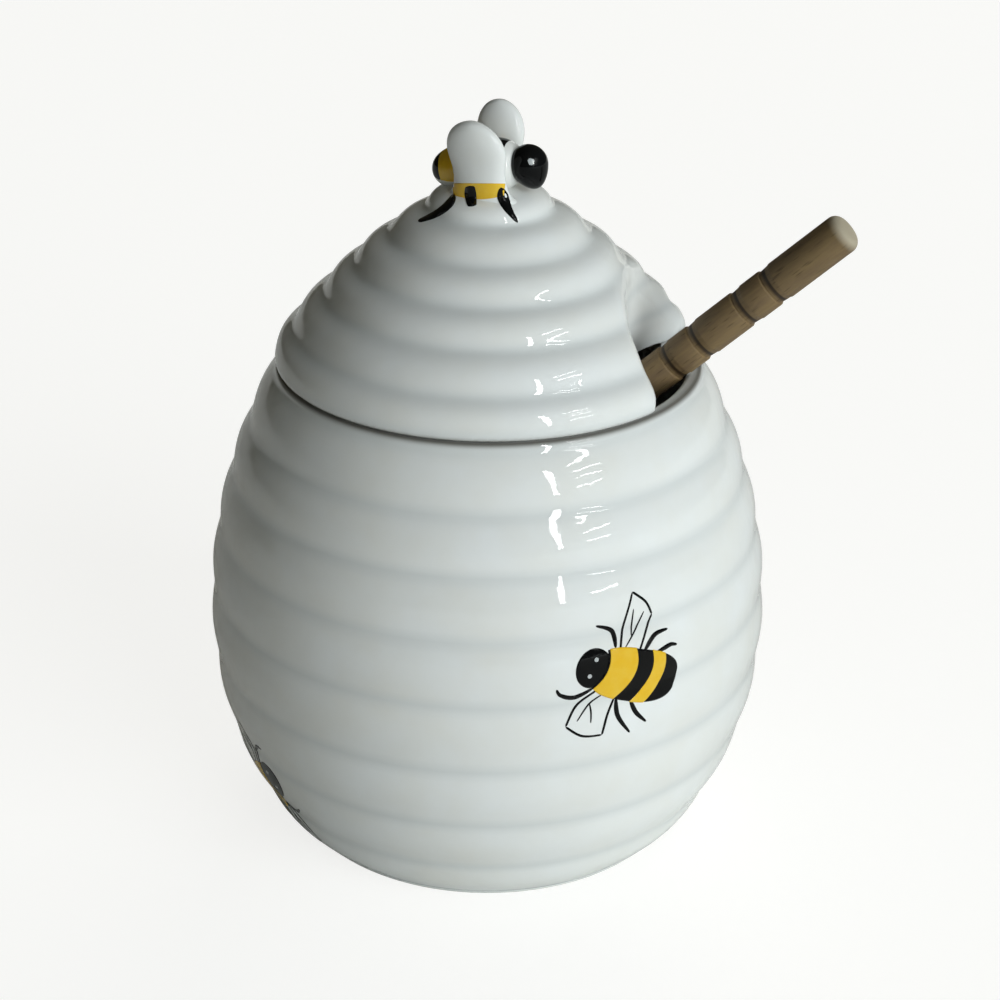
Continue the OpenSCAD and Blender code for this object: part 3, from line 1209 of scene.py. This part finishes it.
@dataclass
class BeePrint:
    """A small bee painted flat on the pot, laid out with x from its head to its tail."""

    finishes: Finishes
    pot: bpy.types.Object
    name: str
    bearing: float
    height: float
    radius: float
    turn: float
    body_from: float = -4.6
    body_to: float = 12.6
    body_mid: float = 2.5
    body_half: float = 5.25

    def half_width(self, a: float) -> float:
        """Return half the body's width at place a along it."""
        share = min(abs(a - self.body_mid) / (self.body_to - self.body_mid), 1.0)
        return self.body_half * fullness(share)

    def band(self, start: float, end: float, grow: float = 0.0) -> bmesh.types.BMesh:
        """Make the part of the body between two curved lines across it.

        Args:
            start: Where the first line lies along the body.
            end: Where the second lies.
            grow: How far the part stands out at both sides.

        Returns:
            The patch.
        """

        def shape(x: float, y: float) -> Point2:
            """Place a point of the band."""
            line = start + (end - start) * (x + 1) / 2
            a, b = line, 0.0
            for _ in range(4):
                b = y * (self.half_width(min(a, self.body_to)) + grow)
                a = line + (0.16 * b - 0.072 * b * b) * min(1.0, (self.body_to - line) / 3.0)
            return a, b

        return sheet_form(int(8 + 3 * (end - start)), 26, shape)

    def oval(self, centre: Point2, half_a: float, half_b: float) -> bmesh.types.BMesh:
        """Make a filled oval."""

        def shape(x: float, y: float) -> Point2:
            """Place a point of the grid in the oval."""
            return (
                centre[0] + half_a * x * math.sqrt(1 - y * y / 2),
                centre[1] + half_b * y * math.sqrt(1 - x * x / 2),
            )

        return sheet_form(20, 20, shape)

    def black_forms(self) -> list[bmesh.types.BMesh]:
        """Return everything painted in black: body, head, wing outlines, veins, legs, feelers."""
        line, vein = (0.42, 0.483), (0.2, 0.36)
        wings = [
            [(-2.6, 4.6), (-3.0, 9.0), (-2.9, 15.4)],
            [(-2.9, 15.4), (0.6, 14.0), (2.9, 11.8)],
            [(2.9, 11.8), (2.3, 8.6), (1.6, 4.9)],
            [(-4.9, -3.9), (-7.7, -7.6), (-8.4, -12.0)],
            [(-8.4, -12.0), (-4.6, -13.2), (-0.7, -12.4)],
            [(-0.7, -12.4), (-1.0, -8.6), (-0.6, -5.0)],
        ]
        veins = [
            [(-1.8, 12.4), (-1.1, 8.9), (-0.8, 7.3)],
            [(0.8, 12.2), (-0.1, 8.6), (-1.7, 4.9)],
            [(-3.4, -4.6), (-5.4, -7.0), (-6.6, -10.6)],
            [(-5.2, -6.8), (-4.4, -8.4), (-3.8, -10.4)],
        ]
        limbs = [
            [(-3.6, 4.7), (-5.2, 7.6), (-8.9, 8.0)],
            [(-5.6, -3.4), (-8.6, -6.0), (-11.4, -6.2), (-12.7, -5.2)],
            [(2.6, 4.7), (4.4, 8.0), (7.4, 9.4)],
            [(5.2, 4.6), (7.6, 6.0), (8.9, 6.6), (10.3, 6.6)],
            [(-0.2, -4.9), (1.3, -8.3), (5.2, -11.4)],
            [(3.0, -5.0), (5.0, -7.2), (8.0, -8.9)],
        ]
        forms = [self.band(self.body_from, self.body_to), self.oval((-6.9, 0.2), 3.6, 3.9)]
        forms += [stroke_form(path, *line) for path in wings]
        forms += [stroke_form(path, *vein) for path in veins]
        forms += [stroke_form(path, 0.35, 0.95, 0.35) for path in limbs]
        return forms

    def yellow_forms(self) -> list[bmesh.types.BMesh]:
        """Return the two yellow bands."""
        return [self.band(-4.1, 2.0, 0.1), self.band(5.7, 8.8, 0.1)]

    def eye_forms(self) -> list[bmesh.types.BMesh]:
        """Return the two eyes."""
        size = 0.42
        return [self.oval(centre, size, size) for centre in ((-7.0, 2.0), (-7.35, -1.3))]

    def throw(self, a: float, b: float) -> tuple[Vector, Vector]:
        """Return where a point of the print starts outside the pot, and which way it goes."""
        turn = math.radians(self.turn)
        u = a * math.cos(turn) - b * math.sin(turn)
        v = a * math.sin(turn) + b * math.cos(turn)
        out = way_to(self.bearing + math.degrees(u / self.radius))
        return out * 80 * MM + UP * (self.height + v) * MM, -out

    def build(self) -> None:
        """Paint the bee on the pot."""
        finishes = self.finishes
        layers = (
            ("black", self.black_forms(), 0.04, finishes.black, Slot.BLACK),
            ("yellow", self.yellow_forms(), 0.06, finishes.yellow, Slot.YELLOW),
            ("eyes", self.eye_forms(), 0.06, finishes.eye, Slot.WHITE),
        )
        for part, forms, lift, material, slot in layers:
            piece = painted(f"{self.name}_{part}", forms, [self.pot], self.throw, lift, material)
            place(piece, Body.POT, slot)


@dataclass
class KnobPaint:
    """The yellow band and the three black legs painted round the foot of the bee's right wing.

    They are laid out as seen from a little above the bee's side, in millimetres right of and
    above the crown's middle.
    """

    finishes: Finishes
    carriers: list[bpy.types.Object]
    crown_z: float
    bearing: float = -78.0
    height: float = 17.7

    def throw(self, u: float, v: float) -> tuple[Vector, Vector]:
        """Return where a point of the paint starts beside the lid, and which way it goes."""
        way, right = way_to(self.bearing, self.height), way_to(self.bearing + 90)
        middle = UP * self.crown_z * MM
        return middle + (right * u + way.cross(right) * v) * MM + way * 60 * MM, -way

    def band(self) -> bmesh.types.BMesh:
        """Return the yellow band."""

        def shape(x: float, y: float) -> Point2:
            """Place a point of the band between its two edges."""
            sag = 0.75 * (1 - x * x)
            high, low = -0.25, -2.45 - sag
            return -2.15 + 4.85 * x + 0.12 * y * x, high + (low - high) * (1 - y) / 2

        return sheet_form(40, 14, shape)

    def legs(self) -> list[bmesh.types.BMesh]:
        """Return the three legs."""
        left = [
            (-6.7, -2.3), (-7.3, -3.7), (-8.6, -5.0), (-10.3, -6.1), (-12.1, -6.9), (-13.5, -7.4),
        ]
        middle = [(-3.75, -0.7), (-3.6, -2.6), (-3.3, -4.55)]
        right = [(2.0, -0.95), (2.35, -2.6), (2.85, -3.9), (3.75, -5.5), (5.2, -7.45)]
        return [
            stroke_form(left, 0.5, 1.5, 0.25),
            stroke_form(middle, 1.5, 2.2, 0.45),
            stroke_form(right, 0.35, 2.1, 0.28),
        ]

    def build(self) -> None:
        """Paint the band and the legs."""
        finishes = self.finishes
        layers = (
            ("knob_yellow_band", [self.band()], 0.04, finishes.yellow, Slot.YELLOW),
            ("knob_black_legs", self.legs(), 0.07, finishes.black, Slot.BLACK),
        )
        for name, forms, lift, material, slot in layers:
            place(painted(name, forms, self.carriers, self.throw, lift, material), Body.LID, slot)


# ---- the dipper ----


@dataclass
class Dipper:
    """The turned stick with its grooved head in the honey."""

    hive: Hive
    finishes: Finishes
    length: float = 151.0
    end_room: float = 2.7
    handle_d: float = 7.2
    # The photographed stick is a little fuller than the CAD one, within its room in the notch.
    fuller: float = 0.25
    lean: float = 43.0
    head_d: float = 23.0
    grooves: int = 6
    pitch: float = 4.6
    groove_w: float = 2.0
    band_depth: float = 0.35
    band_w: float = 2.4
    rest_gap: float = 0.3
    bands: tuple[float, ...] = (18, 25, 36, 43)
    dome_h: float = 3.0

    @property
    def head_len(self) -> float:
        """Length of the grooved head."""
        return self.pitch * self.grooves + self.groove_w + 4

    def barrel(self, s: float) -> float:
        """Return the radius of the head's discs at distance s from its lower end."""
        return self.head_d / 2 * (1 - 0.24 * (2 * s / self.head_len - 1) ** 2)

    def outline(self) -> list[Point2]:
        """Return the section from the lower end to the tip."""
        handle = self.handle_d / 2 + self.fuller
        dome_r = self.barrel(self.dome_h)
        points = [
            (dome_r * math.sin(a) / math.sin(math.radians(75)), self.dome_h * (1 - math.cos(a)))
            for a in (math.radians(75 * i / 8) for i in range(9))
        ]
        core = self.head_d * 0.24
        for i in range(self.grooves):
            low = self.dome_h + i * self.pitch
            high = low + self.pitch - self.groove_w
            points += arc((self.barrel(low) - 0.5, low + 0.5), 0.5, -80, 0, 4)
            points += arc((self.barrel(high) - 0.5, high - 0.5), 0.5, 0, 80, 4)
            points += [(core + 0.3, high), (core, high + 0.3), (core, high + self.groove_w - 0.3),
                       (core + 0.3, high + self.groove_w)]
        neck = self.dome_h + self.pitch * self.grooves
        points += [
            (self.barrel(neck) - 0.5, neck),
            (self.barrel(neck), neck + 0.5),
            (self.barrel(neck), neck + 2),
            (self.barrel(neck) - 0.6, neck + 2.9),
            (self.barrel(neck) - 1.7, neck + 3.7),
            (handle + 1, neck + 6),
            (handle + 0.2, neck + 9),
            (handle, neck + 12),
        ]
        for band in reversed(self.bands):
            s = self.length - band
            low, high = s - self.band_w / 2, s + self.band_w / 2
            points += [
                (handle, low - 0.15),
                (handle - 0.08, low),
                (handle - self.band_depth, low + 0.12),
                (handle - self.band_depth * 0.4, high - 0.1),
                (handle - 0.05, high),
                (handle, high + 0.12),
            ]
        points += arc((handle - 2, self.length - 2.4), 2, 0, 80, 10)
        points += [(0.0, self.length)]
        return points

    def build(self) -> bpy.types.Object:
        """Make the dipper and let it stand for the CAD dipper."""
        hive, lean = self.hive, math.radians(self.lean)
        reach = hive.lip_r + self.rest_gap + self.handle_d / 2
        rest = Vector((
            hive.mouth_r + hive.lip_r - reach * math.sin(lean),
            0.0,
            hive.pot_h - hive.lip_r + reach * math.cos(lean),
        ))
        across = rest.x + hive.belly_r - hive.pot_wall - self.end_room
        inside = (across - self.head_d / 2 * math.sin(lean)) / math.cos(lean)
        form = spun(self.outline(), 96)
        form.transform(
            Matrix.Translation(rest * MM)
            @ Matrix.Rotation(math.pi / 2 - lean, 4, "Y")
            @ Matrix.Translation((0.0, 0.0, -inside * MM))
        )
        piece = finished("turned_dipper", form, self.finishes.wood)
        place(piece, Body.DIPPER, Slot.WOOD, "honey_dipper")
        return piece


# ---- studio ----


@dataclass(frozen=True)
class Lamp:
    """A soft window of light that looks at the pot, placed in degrees and metres."""

    name: str
    bearing: float
    height: float
    size: Point2
    glow: float
    distance: float = 1.3
    roll: float = 0.0
    tint: str = "#ffffff"
    # Whether it is seen in the glaze alone, or only lights what is dull.
    mirrored: bool = True

    def hang(self) -> None:
        """Add the lamp. Its glow is the brightness of its face, where 1 is paper white."""
        data = bpy.data.lights.new(self.name, "AREA")
        data.shape, (data.size, data.size_y) = "RECTANGLE", self.size
        data.energy = self.glow * math.pi * self.size[0] * self.size[1]
        data.color = linear(self.tint)[:3]
        lamp = bpy.data.objects.new(self.name, data)
        bpy.context.scene.collection.objects.link(lamp)
        way = way_to(self.bearing, self.height)
        lamp.matrix_world = (
            Matrix.Translation(way * self.distance + UP * 0.06)
            @ way.to_track_quat("Z", "Y").to_matrix().to_4x4()
            @ Matrix.Rotation(math.radians(self.roll), 4, "Z")
        )
        lamp.visible_diffuse, lamp.visible_glossy = not self.mirrored, self.mirrored


LAMPS = (
    Lamp("soft_window", -35, 17, (2.93, 2.93), 6.0, 4.0, tint="#f4fbff", mirrored=False),
    Lamp("low_fill", -42, 3, (1.6, 0.7), 2.6, 2.4, tint="#f4fbff", mirrored=False),
    Lamp("back_room", 80, 24, (2.93, 2.93), 2.6, 4.0, tint="#fbf9f2", mirrored=False),
    Lamp("bright_pane", -48, 23, (0.06, 0.74), 26.0),
    Lamp("blind_upper", -27, 41, (0.34, 0.028), 20.0, roll=14),
    Lamp("blind_middle", -27, 33, (0.34, 0.022), 18.0, roll=2),
    Lamp("blind_lower", -29, 25, (0.3, 0.026), 18.0, roll=8),
    Lamp("blind_foot", -31, 13, (0.26, 0.026), 18.0, roll=10),
)


@dataclass
class Studio:
    """The pale floor, the room and the camera, as they were fitted to the photograph."""

    floor: str = "#f2f2ef"
    paper: str = "#fdfdfb"
    paper_glow: float = 1.19
    paper_share: float = 0.7
    pitch: float = 0.4520
    yaw: float = 0.0059
    roll: float = 0.0084
    turn: float = 12.0
    lens_mm: float = 79.2
    stand: tuple[float, float, float] = (0.08346, -0.3926, 0.26319)

    def camera(self) -> None:
        """Stand the camera where the photograph was taken from."""
        pitch, yaw, roll = self.pitch, self.yaw, self.roll
        ahead = Vector(
            (math.sin(yaw) * math.cos(pitch), math.cos(yaw) * math.cos(pitch), -math.sin(pitch))
        )
        right = Vector((math.cos(yaw), -math.sin(yaw), 0.0))
        up = right.cross(ahead)
        across = math.cos(roll) * right + math.sin(roll) * up
        upright = -math.sin(roll) * right + math.cos(roll) * up
        view = Matrix((across, upright, -ahead)).transposed().to_4x4()
        data = bpy.data.cameras.new("camera")
        data.lens, data.sensor_width = self.lens_mm, 36.0
        data.shift_y = -0.003
        camera = bpy.data.objects.new("camera", data)
        bpy.context.scene.collection.objects.link(camera)
        camera.matrix_world = (
            Matrix.Translation(self.stand)
            @ Matrix.Rotation(math.radians(self.turn), 4, "Z")
            @ view
        )
        bpy.context.scene.camera = camera

    def surround(self) -> None:
        """Light the room: bright to the right, dim and olive to the left, white to the camera."""
        world = bpy.data.worlds.new("room")
        world.use_nodes = True
        bpy.context.scene.world = world
        tree = world.node_tree
        way = add(tree, "ShaderNodeTexCoord").outputs["Generated"]
        lit = add(
            tree,
            "ShaderNodeVectorMath",
            {0: way, 1: (0.74, -0.25, 0.35)},
            operation="DOT_PRODUCT",
        )
        share = add(
            tree,
            "ShaderNodeMapRange",
            {"Value": lit.outputs["Value"], "From Min": -0.7, "From Max": 0.8},
        )
        walls = [(0.0, "#332f22"), (0.5, "#3f3e37"), (1.0, "#5c5f62")]
        glow = ramp(tree, share.outputs["Result"], walls)
        path = add(tree, "ShaderNodeLightPath")
        tint = add(
            tree,
            "ShaderNodeMix",
            {"Factor": path.outputs["Is Camera Ray"], "A": glow, "B": linear("#fcfcfa")},
            data_type="RGBA",
        )
        background = tree.nodes["Background"]
        tree.links.new(tint.outputs["Result"], background.inputs["Color"])
        background.inputs["Strength"].default_value = 1.0

    def ground(self) -> None:
        """Lay the pale floor, which shows the camera its own white but keeps the shadow."""
        material, tree, shader = new_material("pale_paper_sweep")
        shader.inputs["Base Color"].default_value = linear(self.floor)
        shader.inputs["Roughness"].default_value = 0.8
        path = add(tree, "ShaderNodeLightPath")
        paper = add(
            tree,
            "ShaderNodeEmission",
            {"Color": linear(self.paper), "Strength": self.paper_glow},
        )
        share = add(
            tree,
            "ShaderNodeMath",
            {0: path.outputs["Is Camera Ray"], 1: self.paper_share},
            operation="MULTIPLY",
        )
        both = add(
            tree,
            "ShaderNodeMixShader",
            {0: share.outputs[0], 1: shader.outputs[0], 2: paper.outputs[0]},
        )
        tree.links.new(both.outputs[0], tree.nodes["Material Output"].inputs["Surface"])
        form = bmesh.new()
        bmesh.ops.create_circle(form, cap_ends=True, segments=128, radius=3.0)
        finished("pale_floor", form, material)

    def build(self) -> None:
        """Set up the whole studio."""
        self.camera()
        self.surround()
        self.ground()
        for lamp in LAMPS:
            lamp.hang()
        bpy.context.scene.view_settings.view_transform = "Standard"


def place(piece: bpy.types.Object, body: Body, slot: Slot, *nodes: str) -> None:
    """Let a piece ride on its body, and stand for its CAD nodes.

    Args:
        piece: The finished piece.
        body: What it moves with.
        slot: The record's material slot of its finish; not used.
        nodes: CAD nodes that it replaces.
    """
    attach(piece, body.value)
    if nodes:
        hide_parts(*nodes)
    log.info("%s: %d faces, rides on %s", piece.name, len(piece.data.polygons), body.value)


def main() -> None:
    """Build the object and the studio, in order."""
    logging.basicConfig(level=logging.INFO, format="%(name)s: %(message)s")
    Studio().build()
    finishes, hive = Finishes.made(), Hive()
    pot = Pot(hive, finishes).build()
    lid = Lid(hive, finishes)
    shell = lid.build()
    knob = LidBee(lid, finishes).build()
    KnobPaint(finishes, [shell, *knob], lid.crown_z).build()
    BeePrint(finishes, pot, "front_bee", -50.79, 56.11, 55.73, -20.0).build()
    BeePrint(finishes, pot, "left_bee", -139.0, 15.0, 49.5, 225.0).build()
    Dipper(hive, finishes).build()


if __name__ == "__main__":
    main()
